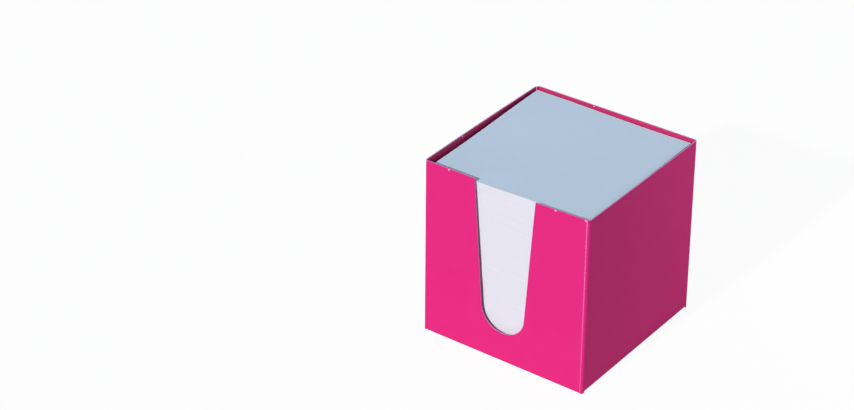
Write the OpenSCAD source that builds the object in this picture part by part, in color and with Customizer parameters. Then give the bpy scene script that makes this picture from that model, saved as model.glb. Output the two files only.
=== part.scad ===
// Memo cube: square note sheets in an open box folded from coated board, with a finger notch.
// Millimetres. The notch wall faces -Y, the floor is z = 0 and the origin is the middle of the base.

/* [Sheets] */
// Width of a note sheet, along the notch wall
sheet_w = 90; // [70:1:120]
// Depth of a note sheet, from the notch wall to the back wall
sheet_d = 90; // [70:1:120]
// Thickness of one sheet of paper
sheet_t = 0.1; // [0.08:0.01:0.2]
// Height of the white sheets together
stack_h = 94.5; // [60:0.5:120]
// Number of lifts of sheets that sit askew on each other
lift_count = 12; // [4:1:20]
// Most that a lift is shifted sideways
lift_shift = 0.2; // [0:0.05:0.3]

/* [Fit in the box] */
// Clearance between the lowest sheets and the inner curve of the folds
fold_clear = 0.2; // [0.1:0.05:1]
// Further play of the sheets at the notch wall
front_play = 0.9; // [0.2:0.1:4]
// Further play of the sheets at the back wall
back_play = 1.2; // [0.2:0.1:6]
// Further play of the sheets at the left wall
left_play = 1.6; // [0.2:0.1:6]
// Gap that the uppermost sheets leave at the right wall, which they lean towards
top_gap = 0.5; // [0.4:0.05:2]
// How far the top sheet lies below the rim
rim_drop = 1.2; // [0:0.1:4]

/* [Board] */
// Thickness of the coated board
board = 0.6; // [0.4:0.05:0.8]
// Outer radius of every fold
fold_r = 1.5; // [1.1:0.1:2.5]
// How far the section of an upright fold runs on into the flat board at each end
fold_run = 0.5; // [0.2:0.1:1]

/* [Finger notch] */
// Width of the notch at the rim
notch_top_w = 36; // [28:1:50]
// Radius of the notch's round end
notch_r = 12.7; // [8:0.1:13.5]
// Height of the notch's lowest point above the floor
notch_low = 16.5; // [6:0.5:30]

/* [Base] */
// Width of the three glued base flaps
flap_w = 25; // [10:1:30]
// How far a flap and its fold stop short of the upright folds
foot_back = 0.3; // [0.1:0.05:0.45]
// How far the base panel's cut edges stay in from the outer faces of the box
panel_back = 2; // [1.6:0.1:4]

/* [Glue seam] */
// Width of the glue lap inside the left wall
lap_w = 14; // [8:1:20]
// How far the lap's ends stay below the rim and above the base
lap_back = 4; // [1:0.5:6]
// How much the lap's slanted ends lose on the way to its free edge
lap_slant = 4; // [1:0.5:8]
// How far the left wall's cut edge stops short of the seam fold
seam_back = 0.1; // [0.1:0.1:1]

/* [Hidden] */
$fn = 96;

// The lowest sheets stay clear of the curve inside the folds
foot_gap = fold_r - board + fold_clear;

// Half sizes of the box over its outer faces, and where the straight part of a wall begins
half_w = (sheet_w + left_play) / 2 + foot_gap + board;
half_d = (sheet_d + front_play + back_play) / 2 + foot_gap + board;
flat_w = half_w - fold_r;
flat_d = half_d - fold_r;

// The base is the base panel with the flaps glued on it, and the sheets rest on the flaps
base_t = 2 * board;
stack_top = base_t + stack_h;
box_h = stack_top + sheet_t + rim_drop;

// The seam fold is set in by one board, because the left wall laps over the glue lap
seam_x = flat_w - board;
left_end = flat_d - seam_back;

// Height of the bend axis under a wall: the notch wall folds into the base panel, the others into flaps
front_axis = fold_r;
flap_axis = board + fold_r;

// The notch's slanted sides touch its round end at the angle round_end, counted from the horizontal
notch_axis = notch_low + notch_r;
notch_half = notch_top_w / 2;
notch_rise = box_h - notch_axis;
notch_reach = sqrt(notch_half * notch_half + notch_rise * notch_rise);
round_end = atan2(notch_rise, notch_half) - acos(notch_r / notch_reach);
touch_x = notch_r * cos(round_end);
touch_z = notch_axis + notch_r * sin(round_end);
notch_lean = (notch_half - touch_x) / (box_h - touch_z);
cut_over = 1;

// Section of the bend itself: a quarter ring of board
module bend() {
    intersection() {
        difference() {
            circle(r = fold_r);
            circle(r = fold_r - board);
        }
        square(fold_r);
    }
}

// Section of an upright fold: the bend, which runs on into the flat board at both ends
module fold_section() {
    bend();
    translate([fold_r - board, -fold_run])
        square([board, fold_run]);
    translate([-fold_run, fold_r - board])
        square([fold_run, board]);
}

// An upright fold, with its axis at x, y and its outside turned by the angle. Only its bend goes down to the base.
module upright_fold(x, y, angle) {
    translate([x, y, board])
        rotate(angle)
            linear_extrude(box_h - board)
                bend();
    translate([x, y, flap_axis])
        rotate(angle)
            linear_extrude(box_h - flap_axis)
                fold_section();
}

// A wall and what is folded in from its foot, as one section between two places along the wall.
// The outside faces the angle, and the foot loses what the children outline in plan.
module wall(angle, half, from, to, axis, foot_end) {
    flat = half - fold_r;
    rotate(angle)
        difference() {
            translate([0, to, 0])
                rotate([90, 0, 0])
                    linear_extrude(to - from) {
                        translate([half - board, axis])
                            square([board, box_h - axis]);
                        translate([flat, axis])
                            rotate(-90)
                                bend();
                        translate([foot_end, axis - fold_r])
                            square([flat - foot_end, board]);
                    }
            translate([0, 0, -cut_over])
                linear_extrude(axis + cut_over)
                    children();
        }
}

// What is cut off a flap at one end, which the side 1 or -1 gives: the notch at the corner and the mitre
module mitre_cut(half, end, side) {
    flat = half - fold_r;
    tip = flat - flap_w - cut_over;
    root = end - side * foot_back;
    polygon([
        [half + cut_over, root],
        [flat, root],
        [tip, root - side * (flap_w + cut_over)],
        [tip, end + side * cut_over],
        [half + cut_over, end + side * cut_over]
    ]);
}

// A wall that folds into a mitred glue flap, which lies on the base panel
module flap_wall(angle, half, from, to) {
    wall(angle, half, from, to, flap_axis, half - fold_r - flap_w) {
        mitre_cut(half, from, -1);
        mitre_cut(half, to, 1);
    }
}

// The notch wall folds into the base panel, the outermost layer of the base, which is a little narrower
module notch_wall() {
    panel_half = half_w - panel_back;
    wall(-90, half_d, -flat_w, flat_w, front_axis, panel_back - half_d)
        for (side = [-1, 1])
            polygon([
                [half_d + cut_over, side * (flat_w - foot_back)],
                [flat_d, side * (flat_w - foot_back)],
                [flat_d, side * panel_half],
                [-half_d, side * panel_half],
                [-half_d, side * (flat_w + cut_over)],
                [half_d + cut_over, side * (flat_w + cut_over)]
            ]);
}

// The lap behind the left wall, with slanted ends
module glue_lap() {
    low = base_t + lap_back;
    high = box_h - lap_back;
    translate([-half_w + board, 0, 0])
        rotate([90, 0, 90])
            linear_extrude(board)
                polygon([
                    [flat_d, low],
                    [flat_d, high],
                    [flat_d - lap_w, high - lap_slant],
                    [flat_d - lap_w, low + lap_slant]
                ]);
}

// Outline of the finger notch: a round end with slanted sides that open towards the rim
module notch_outline() {
    top_half = notch_half + notch_lean * cut_over;
    translate([0, notch_axis])
        circle(r = notch_r);
    polygon([
        [-touch_x, touch_z],
        [touch_x, touch_z],
        [top_half, box_h + cut_over],
        [-top_half, box_h + cut_over]
    ]);
}

module folded_box() {
    color("#E92F82")
        difference() {
            union() {
                notch_wall();
                flap_wall(0, half_w, -flat_d, flat_d);
                flap_wall(90, half_d, -flat_w, seam_x);
                flap_wall(180, half_w, -left_end, flat_d);
                upright_fold(-flat_w, -flat_d, 180);
                upright_fold(flat_w, -flat_d, 270);
                upright_fold(flat_w, flat_d, 0);
                upright_fold(-seam_x, flat_d, 90);
                glue_lap();
            }
            translate([0, -half_d + board + cut_over, 0])
                rotate([90, 0, 0])
                    linear_extrude(board + 2 * cut_over)
                        notch_outline();
        }
}

// The lifts lean to the right wall from the foot gap to the top gap, and all but the lowest are askew.
// A lift's number counts from below.
function side_gap(i) = foot_gap + (top_gap - foot_gap) * i / (lift_count - 1);
function lift_x(i) = half_w - board - sheet_w - side_gap(i) + lift_shift * sin(137 * i);
function lift_y(i) = -half_d + board + foot_gap + front_play + lift_shift * sin(83 * i);
function lift_z(i) = base_t + stack_h * i / lift_count;

// Each lift reaches one sheet down into the one below it, so that the sheets are one solid
module paper_stack() {
    color("#F1F0F6")
        for (i = [0 : lift_count - 1]) {
            low = i == 0 ? base_t : lift_z(i) - sheet_t;
            translate([lift_x(i), lift_y(i), low])
                cube([sheet_w, sheet_d, lift_z(i + 1) - low]);
        }
}

// The pale blue sheet lies flush on the uppermost lift
module top_sheet() {
    color("#B0C4DA")
        translate([lift_x(lift_count - 1), lift_y(lift_count - 1), stack_top])
            cube([sheet_w, sheet_d, sheet_t]);
}

folded_box();
paper_stack();
top_sheet();
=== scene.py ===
# %% [markdown]
# # A memo cube
# Loose square note sheets stand in an open box that is folded from one sheet of pink coated board. A
# tapered notch in the front wall lets a finger reach the sheets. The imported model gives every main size, so
# the looks are built around it: the folded sheet of board, the ream of white paper and the one pale blue
# sheet on top.

import math

import bmesh
import bpy
import numpy as np
from mathutils import Matrix, Vector


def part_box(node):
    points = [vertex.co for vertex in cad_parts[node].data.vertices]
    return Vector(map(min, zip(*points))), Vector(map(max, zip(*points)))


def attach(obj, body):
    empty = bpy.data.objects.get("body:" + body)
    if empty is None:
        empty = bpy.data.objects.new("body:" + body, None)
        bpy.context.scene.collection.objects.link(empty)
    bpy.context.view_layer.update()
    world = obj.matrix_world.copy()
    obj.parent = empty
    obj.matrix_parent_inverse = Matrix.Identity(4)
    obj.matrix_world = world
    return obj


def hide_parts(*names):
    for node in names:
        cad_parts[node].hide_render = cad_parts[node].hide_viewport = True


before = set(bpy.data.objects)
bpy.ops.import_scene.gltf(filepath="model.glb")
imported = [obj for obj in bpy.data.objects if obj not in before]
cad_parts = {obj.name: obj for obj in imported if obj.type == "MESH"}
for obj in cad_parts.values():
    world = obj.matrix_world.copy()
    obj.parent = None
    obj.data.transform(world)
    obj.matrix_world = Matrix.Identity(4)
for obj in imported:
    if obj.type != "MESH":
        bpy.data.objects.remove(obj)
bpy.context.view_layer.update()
MM = 0.001

box_low, box_high = [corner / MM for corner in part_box("folded_box")]
sheet_low, sheet_high = [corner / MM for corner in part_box("top_sheet")]
stack_low, stack_high = [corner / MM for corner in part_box("paper_stack")]
BOX_HALF_W = box_high.x
BOX_HALF_D = box_high.y
BOX_H = box_high.z
print("box", [round(v, 2) for v in box_high], "mm; sheets up to", round(sheet_high.z, 2), "mm")

# %% [markdown]
# ## Camera
# The picture is taken from the right of the notch wall and from above, with a long lens. The camera's place
# comes from the corners of the box in the photograph. There is no lens shift, so other views stay centred.

# %% Place the camera
PHOTO_WIDTH_PX = 854
SENSOR_WIDTH_MM = 36
FOCAL_PX = 2362.3
CAMERA_AT_MM = Vector((544.4, -826.6, 661.0))
CAMERA_YAW = math.radians(-37.12)
CAMERA_PITCH = math.radians(31.04)
CAMERA_ROLL = math.radians(-0.23)

camera = bpy.data.objects.new("camera", bpy.data.cameras.new("camera"))
bpy.context.scene.collection.objects.link(camera)
bpy.context.scene.camera = camera
camera.data.sensor_width = SENSOR_WIDTH_MM
camera.data.lens = FOCAL_PX / PHOTO_WIDTH_PX * SENSOR_WIDTH_MM
camera.data.clip_start = 0.01

forward = Vector((
    math.sin(CAMERA_YAW) * math.cos(CAMERA_PITCH),
    math.cos(CAMERA_YAW) * math.cos(CAMERA_PITCH),
    -math.sin(CAMERA_PITCH),
))
camera.location = CAMERA_AT_MM * MM
camera.rotation_euler = forward.to_track_quat("-Z", "Y").to_euler()
camera.rotation_euler.rotate_axis("Z", CAMERA_ROLL)
print("lens", round(camera.data.lens, 1), "mm")

# %% [markdown]
# ## Helpers
# Colours are picked as they look on a screen, as hex values, and one function turns them into the linear
# numbers that light is computed with. One small function adds a shader node, sets it and links it.

# %% Colours and nodes
def linear(hex_colour):
    """The linear colour of a hex value such as E92F82."""
    values = [int(hex_colour[i:i + 2], 16) / 255 for i in (0, 2, 4)]
    return [v / 12.92 if v <= 0.04045 else ((v + 0.055) / 1.055) ** 2.4 for v in values] + [1.0]


def add_node(tree, kind, inputs=None, **settings):
    """Adds a node, sets its settings, and sets or links its inputs by name or number."""
    node = tree.nodes.new(kind)
    for name, value in settings.items():
        setattr(node, name, value)
    for name, value in (inputs or {}).items():
        if isinstance(value, bpy.types.NodeSocket):
            tree.links.new(value, node.inputs[name])
        else:
            node.inputs[name].default_value = value
    return node


def blend(tree, factor, first, second):
    """Mixes two colours, each a hex value or a socket, by a factor."""
    node = add_node(tree, "ShaderNodeMix", {0: factor}, data_type="RGBA")
    for place, colour in ((6, first), (7, second)):
        if isinstance(colour, str):
            node.inputs[place].default_value = linear(colour)
        else:
            tree.links.new(colour, node.inputs[place])
    return node.outputs[2]


def new_material(name):
    """A material with an empty node tree and its output node."""
    material = bpy.data.materials.new(name)
    material.use_nodes = True
    material.node_tree.nodes.clear()
    return material, material.node_tree, material.node_tree.nodes.new("ShaderNodeOutputMaterial")


# %% [markdown]
# ## Light, floor and background
# The box stands in plain studio light on a white table. The main lamp is low before the notch wall, a weak
# one hangs straight above, another weak one stands on the right, and the table throws light back at the
# walls. A lamp strength of pi gives a facing surface its own written colour, so the strengths are shares of
# pi. A white card on the right, near the back, lifts the far end of the shaded wall. The background is
# white only for what the eye sees of it, so it adds no light to the box.

# %% Light the scene
LAMPS = {
    "key": {"from": (-0.05, -0.86, 0.46), "share": 0.88, "angle": 2.0, "colour": (1, 1, 1)},
    "top": {"from": (0.02, -0.05, 1.0), "share": 0.12, "angle": 12, "colour": (0.94, 0.98, 1.06)},
    "side": {"from": (1.0, 0.25, 0.45), "share": 0.112, "angle": 20, "colour": (0.97, 1.0, 1.05)},
}
SKY = (0.10, 0.12, 0.15, 1.0)
CARD_AT = Vector((0.20, 0.20, 0.12))
CARD_SIZE = 0.12
CARD_POWER = 0.13
CARD_COLOUR = (0.9, 0.96, 1.0)
WHITE = (1.0, 1.0, 1.0, 1.0)


def add_lamp(name, kind, towards):
    """A lamp that is turned so that it shines from the given direction."""
    lamp = bpy.data.objects.new(name, bpy.data.lights.new(name, kind))
    lamp.rotation_euler = towards.to_track_quat("Z", "Y").to_euler()
    bpy.context.scene.collection.objects.link(lamp)
    return lamp


for name, values in LAMPS.items():
    lamp = add_lamp(name, "SUN", Vector(values["from"]))
    lamp.data.energy = values["share"] * math.pi
    lamp.data.angle = math.radians(values["angle"])
    lamp.data.color = values["colour"]
card = add_lamp("card", "AREA", Vector((CARD_AT.x, CARD_AT.y, 0)))
card.location = CARD_AT
card.data.size = CARD_SIZE
card.data.energy = CARD_POWER
card.data.color = CARD_COLOUR
card.visible_camera = False


def seen_ray(tree):
    """1 for rays that show the background: from the camera, off gloss and through glass."""
    path = tree.nodes.new("ShaderNodeLightPath")
    seen = path.outputs["Is Camera Ray"]
    for kind in ("Is Glossy Ray", "Is Transmission Ray"):
        either = add_node(tree, "ShaderNodeMath", {0: seen, 1: path.outputs[kind]}, operation="MAXIMUM")
        seen = either.outputs[0]
    return seen


world = bpy.data.worlds.new("studio")
bpy.context.scene.world = world
world.use_nodes = True
world.node_tree.nodes.clear()
ambient_light = add_node(world.node_tree, "ShaderNodeBackground", {"Color": SKY, "Strength": 1.0})
white_light = add_node(world.node_tree, "ShaderNodeBackground", {"Color": WHITE, "Strength": 1.0})
world_mix = add_node(
    world.node_tree,
    "ShaderNodeMixShader",
    {0: seen_ray(world.node_tree), 1: ambient_light.outputs[0], 2: white_light.outputs[0]},
)
add_node(world.node_tree, "ShaderNodeOutputWorld", {"Surface": world_mix.outputs[0]})
bpy.context.scene.view_settings.view_transform = "Standard"

# %% Lay the floor
FLOOR_SIZE = 6.0
FLOOR_GAP = 0.00002
FLOOR_COLOUR = "B4B4B8"
FLOOR_GLOW = 0.94

floor_material, tree, output = new_material("pale_floor")
plain = add_node(tree, "ShaderNodeBsdfDiffuse", {"Color": linear(FLOOR_COLOUR)})
shaded = add_node(tree, "ShaderNodeBsdfDiffuse", {"Color": WHITE})
glow = add_node(tree, "ShaderNodeEmission", {"Color": WHITE, "Strength": 1.0})
bright = add_node(tree, "ShaderNodeMixShader", {0: FLOOR_GLOW, 1: shaded.outputs[0], 2: glow.outputs[0]})
seen = add_node(tree, "ShaderNodeMixShader", {0: seen_ray(tree), 1: plain.outputs[0], 2: bright.outputs[0]})
tree.links.new(seen.outputs[0], output.inputs["Surface"])

half = FLOOR_SIZE / 2
floor_mesh = bpy.data.meshes.new("floor")
corners = [(x, y, -FLOOR_GAP) for x, y in ((-half, -half), (half, -half), (half, half), (-half, half))]
floor_mesh.from_pydata(corners, [], [(0, 1, 2, 3)])
floor_mesh.materials.append(floor_material)
floor = bpy.data.objects.new("floor", floor_mesh)
bpy.context.scene.collection.objects.link(floor)

# %% [markdown]
# ## The box: one flat blank, folded by a formula
# A folding box is one sheet of board. It is cut flat, creased, folded and glued. The mesh follows that: a
# point of the blank has the distance u along the four walls and the height v, and one function says where
# the fold puts it. The wall distances are a chain of flat stretches and quarter turns, and what lies below
# a wall's foot crease turns in under the box. So the same blank gives the shape, and later the place of
# every crease line.

# %% Sizes of the board and of its cuts
BOARD = 0.6
FOLD_R = 1.5
MID_R = FOLD_R - BOARD / 2
QUARTER = MID_R * math.pi / 2
FLAT_W = BOX_HALF_W - FOLD_R
FLAT_D = BOX_HALF_D - FOLD_R
WALL_X = BOX_HALF_W - BOARD / 2
WALL_Y = BOX_HALF_D - BOARD / 2
SEAM_X = FLAT_W - BOARD
SEAM_BACK = 0.1
LAP_W = 14
LAP_LOW = 5.2
LAP_HIGH = BOX_H - 4
LAP_SLANT = 4
FRONT_AXIS = FOLD_R
FLAP_AXIS = BOARD + FOLD_R
FLAP_W = 25
FOOT_BACK = 0.3
PANEL_BACK = 2

NOTCH_HALF = 18
NOTCH_R = 12.7
NOTCH_LOW = 16.5
NOTCH_AXIS = NOTCH_LOW + NOTCH_R
notch_rise = BOX_H - NOTCH_AXIS
ROUND_END = math.atan2(notch_rise, NOTCH_HALF) - math.acos(NOTCH_R / math.hypot(NOTCH_HALF, notch_rise))
TOUCH_Z = NOTCH_AXIS + NOTCH_R * math.sin(ROUND_END)


def notch_half_width(z):
    """Half the notch's width at a height: a round end below, straight slanted sides above."""
    if z >= TOUCH_Z:
        touch_x = NOTCH_R * math.cos(ROUND_END)
        return touch_x + (NOTCH_HALF - touch_x) * (z - TOUCH_Z) / (BOX_H - TOUCH_Z)
    return math.sqrt(max(0, NOTCH_R ** 2 - (z - NOTCH_AXIS) ** 2))


print("the notch's round end goes up to", round(TOUCH_Z, 1), "mm")

# %% The chain of walls and folds
def wall_span(start, end, foot_axis):
    """A flat stretch of the sleeve in plan. Its outside is on the left of the way from start to end."""
    start = Vector(start)
    along = (Vector(end) - start).normalized()
    outward = Vector((-along.y, along.x))
    length = (Vector(end) - start).length
    return {"length": length, "foot": foot_axis, "at": lambda d: (start + along * d, outward)}


def fold_span(centre, first_angle):
    """A quarter turn of the sleeve in plan, clockwise from the first angle."""
    centre = Vector(centre)

    def at(d):
        angle = math.radians(first_angle) - d / MID_R
        outward = Vector((math.cos(angle), math.sin(angle)))
        return centre + outward * MID_R, outward

    return {"length": QUARTER, "foot": None, "at": at}


SPANS = {
    "lap": wall_span((-WALL_X + BOARD, FLAT_D - LAP_W), (-WALL_X + BOARD, FLAT_D), None),
    "seam_fold": fold_span((-SEAM_X, FLAT_D), 180),
    "back_wall": wall_span((-SEAM_X, WALL_Y), (FLAT_W, WALL_Y), FLAP_AXIS),
    "back_fold": fold_span((FLAT_W, FLAT_D), 90),
    "right_wall": wall_span((WALL_X, FLAT_D), (WALL_X, -FLAT_D), FLAP_AXIS),
    "front_fold": fold_span((FLAT_W, -FLAT_D), 0),
    "notch_wall": wall_span((FLAT_W, -WALL_Y), (-FLAT_W, -WALL_Y), FRONT_AXIS),
    "left_fold": fold_span((-FLAT_W, -FLAT_D), -90),
    "left_wall": wall_span((-WALL_X, -FLAT_D), (-WALL_X, FLAT_D - SEAM_BACK), FLAP_AXIS),
}
place = 0
for span in SPANS.values():
    span["start"] = place
    place += span["length"]
print("the sleeve is", round(place, 1), "mm long, with its glue lap")


def fold(name, u, v):
    """Where a point of the blank lies once its span is folded: in plan, then turned in at the foot."""
    span = SPANS[name]
    point, outward = span["at"](u - span["start"])
    inward = 0
    height = v
    if span["foot"] is not None and v < span["foot"]:
        past = span["foot"] - v
        turn = min(past / MID_R, math.pi / 2)
        inward = MID_R * (1 - math.cos(turn)) + max(0, past - QUARTER)
        height = span["foot"] - MID_R * math.sin(turn)
    return Vector((point.x - outward.x * inward, point.y - outward.y * inward, height)), outward


# %% [markdown]
# ## How the walls stand
# Card walls never stand quite straight. Here the notch wall leans in a little towards its rim, the flap on
# the right of the notch has been pushed open like a door by the fingers that reach in, and the side walls
# bow slightly outwards between their folds. Each of these grows with the height and is nothing at the glued
# foot.

# %% The lean and the bow
FRONT_LEAN = 1.3
SIDE_PULL_LEFT = 0.3
SIDE_PULL_RIGHT = 0.1
DOOR_OPEN = 1.25
DOOR_LOW = 15


def smooth_step(low, high, value):
    """0 below low, 1 above high and a smooth S between them."""
    t = min(1, max(0, (value - low) / (high - low)))
    return t * t * (3 - 2 * t)


def stance(point):
    """How far a point of the box stands from its ideal place."""
    up = max(0, point.z / BOX_H)
    across = point.x / BOX_HALF_W
    deep = point.y / BOX_HALF_D
    lean_in = FRONT_LEAN * up * (1 - deep) / 2
    pull = SIDE_PULL_LEFT * (1 - across) / 2 - SIDE_PULL_RIGHT * (1 + across) / 2
    bow = (1 - deep * deep) * (SIDE_PULL_LEFT if across < 0 else SIDE_PULL_RIGHT) * across
    door = 0
    if deep < -0.9 and point.x > 0:
        door = DOOR_OPEN * (FLAT_W - min(point.x, FLAT_W)) / (FLAT_W - NOTCH_HALF)
        door *= smooth_step(DOOR_LOW, BOX_H, point.z)
    return Vector((up * (pull + bow), lean_in - min(door, lean_in), 0))


# %% [markdown]
# ## Cutting the blank into quads
# The blank is a set of patches of quads that share their border points: the walls, the folds, the two sides
# of the notch with the stretch under it, the base panel and the mitred flaps. Rows at the notch's round end
# are spaced by equal angles, so the curve stays round. Points are merged by their place on the blank, which
# is exact.

# %% Patches of the blank
def spaced(start, end, step, fine=()):
    """Places from start to end, about a step apart, with extra ones at fine distances from both ends."""
    length = end - start
    near = [f for f in fine if f < length / 2]
    margin = near[-1] if near else 0
    inner = np.linspace(margin, length - margin, max(2, round(length / step)))
    distances = {0.0, length, *near, *(length - f for f in near), *(float(x) for x in inner)}
    return [start + d for d in sorted(distances)]


points = {}
quads = []


def corner(name, u, v):
    """The number of a blank point, made when it is first needed."""
    mark = (round(u, 3), round(v, 3))
    if mark not in points:
        points[mark] = (len(points), name, u, v)
    return points[mark][0]


def patch(name, rows):
    """Adds the quads between rows of (u, v) points, lowest row first."""
    for low, high in zip(rows, rows[1:]):
        for i in range(len(low) - 1):
            around = (low[i], high[i], high[i + 1], low[i + 1])
            quads.append([corner(name, u, v) for u, v in around])


GRID = 3.2
NEAR_FOLD = (FOOT_BACK, 0.5, 1.2, 2.4)
ARC_ROWS = 20
arc_rows = [NOTCH_AXIS - NOTCH_R * math.cos(a) for a in np.linspace(0, math.pi / 2 + ROUND_END, ARC_ROWS)]
low_rows = [FLAP_AXIS, 3.4, LAP_LOW, 7.5, 10, 13, 15.2]
high_rows = spaced(TOUCH_Z, BOX_H, GRID, (0.5, 1.2, 2.4, BOX_H - LAP_HIGH))[1:]
ROWS = low_rows + arc_rows + high_rows
FOLD_STEPS = 8
FOOT_STEPS = 6


def span_places(name):
    """Places along a span: fine at the ends of a wall, equal steps round a fold."""
    span = SPANS[name]
    if span["length"] == QUARTER:
        return [span["start"] + span["length"] * i / FOLD_STEPS for i in range(FOLD_STEPS + 1)]
    return spaced(span["start"], span["start"] + span["length"], GRID, NEAR_FOLD)


for name in ("back_wall", "right_wall", "left_wall"):
    patch(name, [[(u, v) for u in span_places(name)] for v in ROWS])
for name in ("seam_fold", "back_fold", "front_fold", "left_fold"):
    patch(name, [[(u, v) for u in span_places(name)] for v in [BOARD, FRONT_AXIS, *ROWS]])

# %% The notch wall
wall_start = SPANS["notch_wall"]["start"]
wall_end = wall_start + SPANS["notch_wall"]["length"]
wall_middle = (wall_start + wall_end) / 2
SIDE_STEPS = [0, 0.007, 0.011, 0.026, 0.05, 0.1, 0.17, 0.25, 0.33, 0.41]
SIDE_STEPS += [0.49, 0.57, 0.65, 0.73, 0.81, 0.88, 0.93, 0.965, 0.985, 1]


def right_side(v):
    """A row from the front fold to the notch."""
    reach = wall_middle - notch_half_width(v) - wall_start
    return [(wall_start + near_fold_share(s, reach), v) for s in SIDE_STEPS]


def near_fold_share(share, reach):
    """The first shares are fixed distances from the fold, so that they meet the flaps' corners."""
    fixed = {0.007: FOOT_BACK, 0.011: 0.5}
    return fixed.get(share, share * reach)


def left_side(v):
    """The mirrored row, from the notch to the left fold."""
    return [(wall_start + wall_end - u, v) for u, v in reversed(right_side(v))]


patch("notch_wall", [right_side(v) for v in arc_rows + high_rows])
patch("notch_wall", [left_side(v) for v in arc_rows + high_rows])
bottom_places = [u for u, v in right_side(NOTCH_LOW)] + [u for u, v in left_side(NOTCH_LOW)][1:]
patch("notch_wall", [[(u, v) for u in bottom_places] for v in [FRONT_AXIS, *low_rows, NOTCH_LOW]])

# %% The glue lap, the base panel and the flaps
lap_places = spaced(SPANS["lap"]["start"], SPANS["lap"]["start"] + LAP_W, GRID)
lap_rows = [v for v in ROWS if LAP_LOW - 0.01 < v < LAP_HIGH + 0.01]


def lap_point(u, v):
    """The lap's ends are slanted, so its rows draw together towards the free edge."""
    slant = LAP_SLANT * (1 - (u - SPANS["lap"]["start"]) / LAP_W)
    share = (v - lap_rows[0]) / (lap_rows[-1] - lap_rows[0])
    return u, v + slant * (1 - 2 * share)


patch("lap", [[lap_point(u, v) for u in lap_places] for v in lap_rows])


def foot_rows(axis, reach):
    """Rows below a foot crease, from the end of what is folded in up to the crease."""
    bend = [axis - QUARTER * i / FOOT_STEPS for i in range(FOOT_STEPS + 1)]
    flat = [axis - QUARTER - d for d in spaced(0, reach, 5)][1:]
    return list(reversed(bend + flat))


for name in ("back_wall", "right_wall", "left_wall"):
    places = [u for u in span_places(name)][1:-1]
    middle = (places[0] + places[-1]) / 2
    half_root = (places[-1] - places[0]) / 2
    rows = []
    for v in foot_rows(FLAP_AXIS, FLAP_W):
        narrowing = 1 - max(0, FLAP_AXIS - QUARTER - v) / half_root
        rows.append([(middle + (u - middle) * narrowing, v) for u in places])
    patch(name, rows)

panel_places = [u for u in bottom_places if wall_start + 0.4 < u < wall_end - 0.4]
fold_places = bottom_places[1:-1]
panel_depth = FLAT_D + BOX_HALF_D - PANEL_BACK
patch("notch_wall", [[(u, v) for u in fold_places] for v in foot_rows(FRONT_AXIS, 0)[-FOOT_STEPS - 1:]])
patch("notch_wall", [[(u, v) for u in panel_places] for v in foot_rows(FRONT_AXIS, panel_depth)[:-FOOT_STEPS]])
print("the blank has", len(points), "points and", len(quads), "quads")

# %% [markdown]
# ## From blank to box
# Each point is folded and set to the walls' stance. The Solidify modifier then gives the board its
# thickness, half on each side, and puts a second material on the cut edges, because board is coated on its
# faces only. The blank's own coordinates are kept as a UV map in millimetres, and an attribute holds the
# distance from the nearest crease that cracked, for the wear that follows it.

# %% Fold the blank
CREASES = (SPANS["notch_wall"]["start"], SPANS["back_wall"]["start"])


def crease_distance(u):
    """Distance in mm from the nearest crease where the coat cracked."""
    return min(abs(u - line) for line in CREASES)


FAR_MM = 8
mesh = bpy.data.meshes.new("pink_box")
places = []
for number, name, u, v in points.values():
    folded, outward = fold(name, u, v)
    places.append((folded + stance(folded)) * MM)
mesh.from_pydata(places, [], quads)
uv = mesh.uv_layers.new(name="blank_mm")
blank = [(u, v) for number, name, u, v in points.values()]
for loop in mesh.loops:
    uv.data[loop.index].uv = blank[loop.vertex_index]
crease = mesh.attributes.new("crease_mm", "FLOAT", "POINT")
crease.data.foreach_set("value", [min(FAR_MM, crease_distance(u)) for number, name, u, v in points.values()])

pink_box = bpy.data.objects.new("pink_box", mesh)
bpy.context.scene.collection.objects.link(pink_box)


def finished(piece, sharp_degrees=35):
    """Applies the piece's modifiers, and leaves a plain mesh that is smooth but for its sharp edges."""
    depsgraph = bpy.context.evaluated_depsgraph_get()
    made = bpy.data.meshes.new_from_object(piece.evaluated_get(depsgraph))
    piece.modifiers.clear()
    piece.data = made
    made.shade_smooth()
    made.set_sharp_from_angle(angle=math.radians(sharp_degrees))
    print(piece.name, len(made.polygons), "faces")
    return piece


# %% [markdown]
# ## Coated board
# The box is folding boxboard: a grey-white board with a smooth clay coat, printed solid pink on both faces
# and sealed with a thin satin varnish. To the eye it is one even, saturated colour with a soft sheen, a
# faint mottle where the ink lies on the fibres, and tiny pale cracks in a row along the creases that were
# folded last. The inside has its own darker, slightly greyer pink, which is painted shade for the dimmer
# light inside the box.

# %% The pink coat
PINK = "E92981"
PINK_DEEP = "E6257D"
# The inside pinks are darker than the outside ones: painted shade for the inside of the box.
INNER_PINK_SHADED = "CF2F70"
INNER_DEEP_SHADED = "CA2B6B"
CRACK_COLOUR = "FFBCE6"
BOARD_IOR = 1.45
BOARD_ROUGHNESS = 0.6
OUTER_GLOSS = 0.18
INNER_GLOSS = 0.5
MOTTLE_MM = 9
FIBRE_MM = 0.35
CRACK_DOT_MM = 1.1
CRACK_HALF_MM = 0.23
CRACK_LEAST = 0.45
CRACK_NOISE = (0.42, 0.58)
CRACK_AT_FOOT = 0.5


def map_range(tree, value, *limits):
    """Maps a value from one range to another, without going beyond it."""
    names = ("From Min", "From Max", "To Min", "To Max")
    node = add_node(tree, "ShaderNodeMapRange", {"Value": value} | dict(zip(names, limits)))
    return node.outputs[0]


def times(tree, a, b):
    """The product of two values."""
    return add_node(tree, "ShaderNodeMath", {0: a, 1: b}, operation="MULTIPLY").outputs[0]


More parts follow.
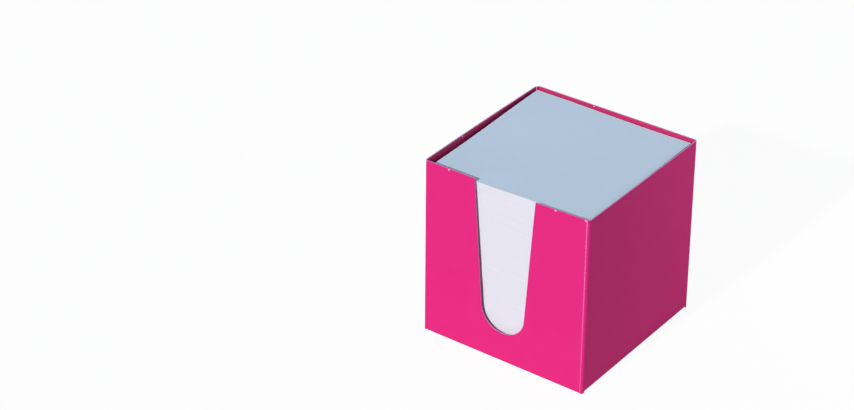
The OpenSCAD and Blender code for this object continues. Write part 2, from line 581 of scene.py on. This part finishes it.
def cracks(tree, blank_uv):
    """How far the coat is cracked: a beaded line on the crease, strongest at the rim."""
    crease_mm = add_node(tree, "ShaderNodeAttribute", attribute_name="crease_mm").outputs["Fac"]
    dots = add_node(tree, "ShaderNodeTexNoise", {"Vector": blank_uv, "Scale": 1 / CRACK_DOT_MM, "Detail": 1.0})
    height = add_node(tree, "ShaderNodeSeparateXYZ", {0: blank_uv}).outputs["Y"]
    near = map_range(tree, crease_mm, CRACK_HALF_MM, 0.0, 0.0, 1.0)
    beads = map_range(tree, dots.outputs["Fac"], *CRACK_NOISE, CRACK_LEAST, 1.0)
    high_up = map_range(tree, height, 0.0, BOX_H, CRACK_AT_FOOT, 1.0)
    return times(tree, near, times(tree, beads, high_up))


def printed_board(name, light, deep, gloss, cracked):
    """Solid ink on coated board: nearly even, with a trace of fibre and a soft sheen."""
    material, tree, output = new_material(name)
    blank_uv = add_node(tree, "ShaderNodeUVMap", uv_map="blank_mm").outputs["UV"]
    mottle = add_node(tree, "ShaderNodeTexNoise", {"Vector": blank_uv, "Scale": 1 / MOTTLE_MM, "Detail": 3.0})
    fibre = add_node(tree, "ShaderNodeTexNoise", {"Vector": blank_uv, "Scale": 1 / FIBRE_MM, "Detail": 2.0})
    ink = blend(tree, mottle.outputs["Fac"], light, deep)
    if cracked:
        ink = blend(tree, cracks(tree, blank_uv), ink, CRACK_COLOUR)
    grain = add_node(
        tree, "ShaderNodeBump", {"Height": fibre.outputs["Fac"], "Strength": 0.06, "Distance": 0.00005}
    )
    varnish = add_node(
        tree,
        "ShaderNodeBsdfPrincipled",
        {
            "Base Color": ink,
            "Roughness": BOARD_ROUGHNESS,
            "IOR": BOARD_IOR,
            "Specular IOR Level": gloss,
            "Normal": grain.outputs[0],
        },
    )
    tree.links.new(varnish.outputs[0], output.inputs["Surface"])
    return material


coated_board = printed_board("coated_board", PINK, PINK_DEEP, OUTER_GLOSS, True)
# The inside copy of the board has the darker pinks, which are painted shade.
shaded_inner_board = printed_board("coated_board_inside_shaded", INNER_PINK_SHADED, INNER_DEEP_SHADED, INNER_GLOSS, False)

# %% The raw cut edge
EDGE_PALE = "D9A9D3"
EDGE_DARK = "B981B6"
PLY_MM = 0.25

board_edge, tree, output = new_material("cut_board_edge")
where = add_node(tree, "ShaderNodeTexCoord").outputs["Object"]
ply = add_node(tree, "ShaderNodeTexNoise", {"Vector": where, "Scale": 1 / (PLY_MM * MM), "Detail": 3.0})
edge_colour = blend(tree, ply.outputs["Fac"], EDGE_PALE, EDGE_DARK)
rough = add_node(tree, "ShaderNodeBump", {"Height": ply.outputs["Fac"], "Strength": 0.3, "Distance": 0.0001})
raw = add_node(
    tree,
    "ShaderNodeBsdfPrincipled",
    {"Base Color": edge_colour, "Roughness": 0.9, "IOR": 1.45, "Normal": rough.outputs[0]},
)
tree.links.new(raw.outputs[0], output.inputs["Surface"])

# %% Give the board its thickness, and give the cut edges that lie hidden in the glue seam the darker inside pink
for material in (coated_board, shaded_inner_board, board_edge):
    pink_box.data.materials.append(material)
thickness = pink_box.modifiers.new("board", "SOLIDIFY")
thickness.thickness = BOARD * MM
thickness.offset = 0
thickness.use_even_offset = True
# The inside faces take the second material, the darker inside pink that is painted shade.
thickness.material_offset = 1
thickness.material_offset_rim = 2
finished(pink_box)

limit = Vector((BOX_HALF_W, BOX_HALF_D, BOX_H)) * MM
for vertex in pink_box.data.vertices:
    for axis in range(3):
        lowest = 0 if axis == 2 else -limit[axis]
        vertex.co[axis] = min(limit[axis], max(lowest, vertex.co[axis]))

# Cut faces in the glue seam get the darker inside pink instead of the pale edge colour.
in_seam = 0
for face in pink_box.data.polygons:
    x, y, z = face.center / MM
    if face.material_index == 2 and x < -SEAM_X and y > FLAT_D - LAP_W - 1 and 10 < z < BOX_H - 0.05:
        face.material_index = 1
        in_seam += 1
print(in_seam, "cut faces in the glue seam are covered with ink")

# %% [markdown]
# ## The ream of white sheets
# About 950 sheets of note paper stand in the box. Each one lies a little off its neighbour, which shows in
# the notch and at the walls as fine ledges. Geometry Nodes make the whole pile as one closed shell: a block
# with two rows of points per sheet, where every pair of rows moves by its own random amount. The sheets
# near the top get more points across, because they bend: a thumb has pressed them down in the notch, and
# one corner curls up.

# %% A tree that piles sheets
SHEET = 90
SHEET_T = 0.1
LIFT_SHEETS = 80
SHEET_SHIFT = 0.03
LIFT_SHIFT = 0.08


def pile_tree(material):
    """Sheets as one stepped block, from their number, size, thickness and how far they lie askew."""
    tree = bpy.data.node_groups.new("pile_of_sheets", "GeometryNodeTree")
    sockets = {}
    for name, kind in (
        ("Sheets", "NodeSocketInt"),
        ("Width", "NodeSocketFloat"),
        ("Thickness", "NodeSocketFloat"),
        ("Across", "NodeSocketInt"),
        ("Sheet Shift", "NodeSocketFloat"),
        ("Lift Sheets", "NodeSocketInt"),
        ("Lift Shift", "NodeSocketFloat"),
        ("Lean", "NodeSocketFloat"),
        ("Seed", "NodeSocketInt"),
    ):
        sockets[name] = tree.interface.new_socket(name, in_out="INPUT", socket_type=kind).identifier
    tree.interface.new_socket("Geometry", in_out="OUTPUT", socket_type="NodeSocketGeometry")
    given = add_node(tree, "NodeGroupInput").outputs

    def maths(operation, a, b=0.0):
        return add_node(tree, "ShaderNodeMath", {0: a, 1: b}, operation=operation).outputs[0]

    rows = maths("MULTIPLY", given["Sheets"], 2.0)
    height = maths("MULTIPLY", given["Sheets"], given["Thickness"])
    size = add_node(tree, "ShaderNodeCombineXYZ", {0: given["Width"], 1: given["Width"], 2: height})
    block = add_node(
        tree,
        "GeometryNodeMeshCube",
        {
            "Size": size.outputs[0],
            "Vertices X": given["Across"],
            "Vertices Y": given["Across"],
            "Vertices Z": rows,
        },
    )
    position = add_node(tree, "GeometryNodeInputPosition").outputs[0]
    place = add_node(tree, "ShaderNodeSeparateXYZ", {0: position})
    share = maths("ADD", maths("DIVIDE", place.outputs["Z"], height), 0.5)
    row = maths("ROUND", maths("MULTIPLY", share, maths("SUBTRACT", rows, 1.0)))
    sheet = maths("FLOOR", maths("DIVIDE", row, 2.0))
    is_top = maths("SUBTRACT", row, maths("MULTIPLY", sheet, 2.0))
    lift = maths("FLOOR", maths("DIVIDE", sheet, given["Lift Sheets"]))

    def askew(amount, number, seed):
        low = maths("MULTIPLY", amount, -1.0)
        pick = add_node(
            tree, "FunctionNodeRandomValue", {"ID": number, "Seed": seed}, data_type="FLOAT_VECTOR"
        )
        for socket, limit in (("Min", low), ("Max", amount)):
            flat = add_node(tree, "ShaderNodeCombineXYZ", {0: limit, 1: limit})
            tree.links.new(flat.outputs[0], pick.inputs[socket])
        return pick.outputs[0]

    shift = add_node(
        tree,
        "ShaderNodeVectorMath",
        {
            0: askew(given["Sheet Shift"], sheet, given["Seed"]),
            1: askew(given["Lift Shift"], lift, maths("ADD", given["Seed"], 1.0)),
        },
        operation="ADD",
    )
    level = maths("MULTIPLY", maths("ADD", sheet, is_top), given["Thickness"])
    lean = maths("DIVIDE", maths("MULTIPLY", sheet, given["Lean"]), given["Sheets"])
    base_x = maths("ADD", place.outputs["X"], lean)
    base = add_node(tree, "ShaderNodeCombineXYZ", {0: base_x, 1: place.outputs["Y"], 2: level})
    moved = add_node(tree, "ShaderNodeVectorMath", {0: base.outputs[0], 1: shift.outputs[0]}, operation="ADD")
    piled = add_node(
        tree, "GeometryNodeSetPosition", {"Geometry": block.outputs[0], "Position": moved.outputs[0]}
    )
    real = add_node(tree, "GeometryNodeRealizeInstances", {"Geometry": piled.outputs[0]})
    painted = add_node(tree, "GeometryNodeSetMaterial", {"Geometry": real.outputs[0], "Material": material})
    add_node(tree, "NodeGroupOutput", {"Geometry": painted.outputs[0]})
    return tree, sockets


# %% [markdown]
# ## Paper
# Note paper is uncoated wood-free paper. It scatters light almost evenly, so it is matt and has no
# highlight. Close to, its fibres make a fine cloudy look. On the pile's cut sides the colour has faint bands
# along the layers, partly random tone and partly painted shade between the sheets. The sheets look a touch
# violet because such paper holds a brightener; the top sheet is dyed pale blue in the pulp.

# %% White and pale blue paper
WHITE_PAPER = "E8E6ED"
WHITE_SHADE = "E4E2E9"
BLUE_PAPER = "D2E4F5"
BLUE_SHADE = "CEE0F2"
PAPER_ROUGHNESS = 0.95
CLOUD_MM = 5
PAPER_FIBRE_MM = 0.25
LAYER_MM = 0.9


def paper(name, light, shade, layered):
    """Matt paper with a cloudy sheet look, and for a pile also faint bands along its layers, partly painted
    shade.
    """
    material, tree, output = new_material(name)
    where = add_node(tree, "ShaderNodeTexCoord").outputs["Object"]
    # A layered pile gets bands along its layers: partly random tone, partly painted shade between the sheets.
    stretch = (1, 1, CLOUD_MM / LAYER_MM) if layered else (1, 1, 1)
    spread = add_node(tree, "ShaderNodeMapping", {"Vector": where, "Scale": stretch})
    cloud = add_node(
        tree, "ShaderNodeTexNoise", {"Vector": spread.outputs[0], "Scale": 1 / (CLOUD_MM * MM), "Detail": 4.0}
    )
    colour = blend(tree, cloud.outputs["Fac"], light, shade)
    fibre_scale = 1 / (PAPER_FIBRE_MM * MM)
    fibre = add_node(tree, "ShaderNodeTexNoise", {"Vector": where, "Scale": fibre_scale, "Detail": 2.0})
    tooth = add_node(
        tree, "ShaderNodeBump", {"Height": fibre.outputs["Fac"], "Strength": 0.1, "Distance": 0.00005}
    )
    matt = add_node(
        tree,
        "ShaderNodeBsdfPrincipled",
        {
            "Base Color": colour,
            "Roughness": PAPER_ROUGHNESS,
            "IOR": 1.45,
            "Specular IOR Level": 0.15,
            "Normal": tooth.outputs[0],
        },
    )
    tree.links.new(matt.outputs[0], output.inputs["Surface"])
    return material


white_paper = paper("white_uncoated_paper", WHITE_PAPER, WHITE_SHADE, True)
blue_paper = paper("pale_blue_uncoated_paper", BLUE_PAPER, BLUE_SHADE, False)

# %% Pile the sheets
RIGHT_GAP_LOW = 1.1
INNER_X = BOX_HALF_W - BOARD
FRONT_LOW = stack_low.y + 0.25
FRONT_TOP = -45.0
PUSHED_LEFT = 0.85
LOOSE_H = 7.0
FINE_ACROSS = 46

stack_h = stack_high.z - stack_low.z
loose_sheets = round(LOOSE_H / SHEET_T)
firm_sheets = round(stack_h / SHEET_T) - loose_sheets
low_middle = INNER_X - RIGHT_GAP_LOW - SHEET / 2
top_middle = (sheet_low.x + sheet_high.x) / 2 - PUSHED_LEFT
tree, sockets = pile_tree(white_paper)


def pile(values, middle, low):
    """The mesh of one pile from the tree, moved to its place in the box."""
    piece = bpy.data.objects.new("pile", bpy.data.meshes.new("pile"))
    bpy.context.scene.collection.objects.link(piece)
    nodes = piece.modifiers.new("pile", "NODES")
    nodes.node_group = tree
    for label, value in values.items():
        nodes[sockets[label]] = value
    depsgraph = bpy.context.evaluated_depsgraph_get()
    made = bpy.data.meshes.new_from_object(piece.evaluated_get(depsgraph))
    made.transform(Matrix.Translation(Vector((middle[0], middle[1], low)) * MM))
    bpy.data.objects.remove(piece)
    print(values["Sheets"], "sheets,", len(made.polygons), "faces")
    return made


same = {
    "Width": SHEET * MM,
    "Thickness": SHEET_T * MM,
    "Sheet Shift": SHEET_SHIFT * MM,
    "Lift Sheets": LIFT_SHEETS,
    "Lift Shift": LIFT_SHIFT * MM,
}
firm = pile(
    same | {"Sheets": firm_sheets, "Across": 2, "Lean": (top_middle - low_middle) * MM, "Seed": 4},
    (low_middle, FRONT_LOW + SHEET / 2),
    stack_low.z,
)
loose = pile(
    same | {"Sheets": loose_sheets, "Across": FINE_ACROSS, "Lean": 0.0, "Lift Shift": 0.0, "Seed": 9},
    (top_middle, FRONT_TOP + SHEET / 2),
    stack_low.z + firm_sheets * SHEET_T,
)
both = bmesh.new()
both.from_mesh(firm)
both.from_mesh(loose)
ream_mesh = bpy.data.meshes.new("white_ream")
both.to_mesh(ream_mesh)
both.free()
ream_mesh.materials.append(white_paper)
white_ream = bpy.data.objects.new("white_ream", ream_mesh)
bpy.context.scene.collection.objects.link(white_ream)

# %% [markdown]
# ## The pale blue sheet and how the top of the pile lies
# One pale blue sheet lies on the white ones. It was cut about a millimetre shorter, so that white shows
# behind it. It is a thin closed slab with a fine grid, so that it can follow the pile. The same press moves
# both: the pile has settled, a little more on the left, there is a hollow at the notch where thumbs take
# sheets, and the back left corner curls up. The press and the small turn fade away some millimetres down,
# where the weight keeps sheets flat.

# %% Lay the blue sheet
BLUE_SHORT = 1.2

slab = bmesh.new()
bmesh.ops.create_grid(slab, x_segments=FINE_ACROSS, y_segments=FINE_ACROSS, size=SHEET * MM / 2)
bmesh.ops.scale(slab, verts=slab.verts, vec=(1, 1 - BLUE_SHORT / SHEET, 1))
made = bmesh.ops.extrude_face_region(slab, geom=slab.faces[:])
up = [item for item in made["geom"] if isinstance(item, bmesh.types.BMVert)]
bmesh.ops.translate(slab, verts=up, vec=(0, 0, SHEET_T * MM))
blue_middle = Vector((top_middle, FRONT_TOP + (SHEET - BLUE_SHORT) / 2, sheet_low.z))
bmesh.ops.translate(slab, verts=slab.verts, vec=blue_middle * MM)
bmesh.ops.recalc_face_normals(slab, faces=slab.faces)
blue_mesh = bpy.data.meshes.new("blue_sheet")
slab.to_mesh(blue_mesh)
slab.free()
blue_mesh.materials.append(blue_paper)
blue_sheet = bpy.data.objects.new("blue_sheet", blue_mesh)
bpy.context.scene.collection.objects.link(blue_sheet)

# %% Press and turn the top of the pile
DIP = 0.3
DIP_X = -9.5
DIP_LEFT = 15
DIP_RIGHT = 18
DIP_DEPTH = 15
SETTLE = 0.5
TILT = 0.4
CURL = 1.6
CURL_REACH = 75
TURN = math.radians(0.6)


def press(x, y):
    """How far the uppermost sheet lies above its level, or below it where the value is negative."""
    side = DIP_LEFT if x < DIP_X else DIP_RIGHT
    across = 1 - smooth_step(3, side, abs(x - DIP_X))
    back = 1 - smooth_step(0, DIP_DEPTH, y - FRONT_TOP)
    to_corner = math.hypot(x - sheet_low.x, y - sheet_high.y)
    curl = CURL * (1 - smooth_step(0, CURL_REACH, to_corner))
    return curl + TILT * x / (SHEET / 2) - SETTLE - DIP * across * back


press_low = stack_high.z - LOOSE_H
for piece in (white_ream, blue_sheet):
    for vertex in piece.data.vertices:
        x, y, z = (value / MM for value in vertex.co)
        if z > press_low - 0.01:
            fade = smooth_step(press_low, stack_high.z, z)
            vertex.co.z += press(x, y) * fade * MM
            vertex.co.x -= TURN * y * MM * fade
            vertex.co.y += TURN * (x - top_middle) * MM * fade
    piece.data.set_sharp_from_angle(angle=math.radians(30))
print("the pile reaches", round(max(v.co.z for v in blue_mesh.vertices) / MM, 2), "mm")

# %% [markdown]
# ## Torn nicks on the rim
# Such blanks hang together by tiny uncut bridges until they are broken out. Each bridge leaves a little
# torn tuft of white fibres on the cut edge. Geometry Nodes set an irregular scrap at each place, turned and
# sized by chance.

# %% Scatter the torn nicks
NICK_SIZE = (0.75, 0.38, 0.48)
NICK_BELOW_RIM = NICK_SIZE[2] * 1.15
NICK_DENT_LEVEL = 0.62
NICK_SPOTS = (
    ("notch_wall", 17.0, 0.25),
    ("notch_wall", 79.0, 0.25),
    ("notch_wall", 0.7, 0.2),
    ("left_fold", QUARTER * 0.4, 0.15),
    ("left_wall", 29.0, -0.15),
    ("right_wall", 61.0, -0.15),
    ("back_wall", 33.0, -0.15),
)
TORN_COLOUR = "FFD6EA"
TORN_SHADE = "F9B2D6"

torn, tree, output = new_material("torn_board_fibres")
where = add_node(tree, "ShaderNodeTexCoord").outputs["Object"]
tuft = add_node(tree, "ShaderNodeTexNoise", {"Vector": where, "Scale": 1 / (PLY_MM * MM), "Detail": 3.0})
fibres = blend(tree, tuft.outputs["Fac"], TORN_COLOUR, TORN_SHADE)
matt = add_node(tree, "ShaderNodeBsdfPrincipled", {"Base Color": fibres, "Roughness": 0.95, "IOR": 1.45})
tree.links.new(matt.outputs[0], output.inputs["Surface"])

spots = []
turns = []
for name, along, out in NICK_SPOTS:
    folded, outward = fold(name, SPANS[name]["start"] + along, BOX_H - NICK_BELOW_RIM)
    spots.append((folded + stance(folded) + outward.to_3d() * out) * MM)
    turns += [0, 0, math.atan2(outward.y, outward.x) + math.pi / 2]
nick_mesh = bpy.data.meshes.new("torn_nicks")
nick_mesh.from_pydata(spots, [], [])
nick_mesh.attributes.new("wall_turn", "FLOAT_VECTOR", "POINT").data.foreach_set("vector", turns)
torn_nicks = bpy.data.objects.new("torn_nicks", nick_mesh)
bpy.context.scene.collection.objects.link(torn_nicks)

tree = bpy.data.node_groups.new("nicks", "GeometryNodeTree")
tree.interface.new_socket("Points", in_out="INPUT", socket_type="NodeSocketGeometry")
size_id = tree.interface.new_socket("Size", in_out="INPUT", socket_type="NodeSocketVector").identifier
seed_id = tree.interface.new_socket("Seed", in_out="INPUT", socket_type="NodeSocketInt").identifier
tree.interface.new_socket("Geometry", in_out="OUTPUT", socket_type="NodeSocketGeometry")
given = add_node(tree, "NodeGroupInput").outputs
scrap = add_node(tree, "GeometryNodeMeshIcoSphere", {"Radius": 1.0, "Subdivisions": 3})
rough = add_node(tree, "ShaderNodeTexNoise", {"Scale": 1.6, "Detail": 2.0}, noise_dimensions="3D")
normal = add_node(tree, "GeometryNodeInputNormal")
depth = add_node(tree, "ShaderNodeMath", {0: rough.outputs["Fac"], 1: NICK_DENT_LEVEL}, operation="SUBTRACT")
dent = add_node(
    tree, "ShaderNodeVectorMath", {0: normal.outputs[0], "Scale": depth.outputs[0]}, operation="SCALE"
)
uneven = add_node(tree, "GeometryNodeSetPosition", {"Geometry": scrap.outputs[0], "Offset": dent.outputs[0]})
wall_turn = add_node(tree, "GeometryNodeInputNamedAttribute", {"Name": "wall_turn"}, data_type="FLOAT_VECTOR")
chance = add_node(
    tree, "FunctionNodeRandomValue", {1: (0.2, 0.2, 0.2), "Seed": given["Seed"]}, data_type="FLOAT_VECTOR"
)
along_wall = next(socket for socket in wall_turn.outputs if socket.enabled)
turn = add_node(tree, "ShaderNodeVectorMath", {0: along_wall, 1: chance.outputs[0]}, operation="ADD")
grow = add_node(tree, "FunctionNodeRandomValue", {2: 0.8, 3: 1.0, "Seed": given["Seed"]}, data_type="FLOAT")
scale = add_node(
    tree, "ShaderNodeVectorMath", {0: given["Size"], "Scale": grow.outputs[1]}, operation="SCALE"
)
placed = add_node(
    tree,
    "GeometryNodeInstanceOnPoints",
    {
        "Points": given["Points"],
        "Instance": uneven.outputs[0],
        "Rotation": turn.outputs[0],
        "Scale": scale.outputs[0],
    },
)
real = add_node(tree, "GeometryNodeRealizeInstances", {"Geometry": placed.outputs[0]})
painted = add_node(tree, "GeometryNodeSetMaterial", {"Geometry": real.outputs[0], "Material": torn})
add_node(tree, "NodeGroupOutput", {"Geometry": painted.outputs[0]})
nodes = torn_nicks.modifiers.new("nicks", "NODES")
nodes.node_group = tree
nodes[size_id] = Vector(NICK_SIZE) * MM
nodes[seed_id] = 3
finished(torn_nicks, 60)

# %% [markdown]
# ## Put it together
# Each piece replaces the plain solid of the model that it dresses, and moves with the box as one body.

# %% Hand the pieces over
for piece, node, slot in (
    (pink_box, "folded_box", "coated_board"),
    (white_ream, "paper_stack", "white_paper"),
    (blue_sheet, "top_sheet", "pale_blue_paper"),
    (torn_nicks, None, "coated_board"),
):
    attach(piece, "root")
    if node:
        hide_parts(node)
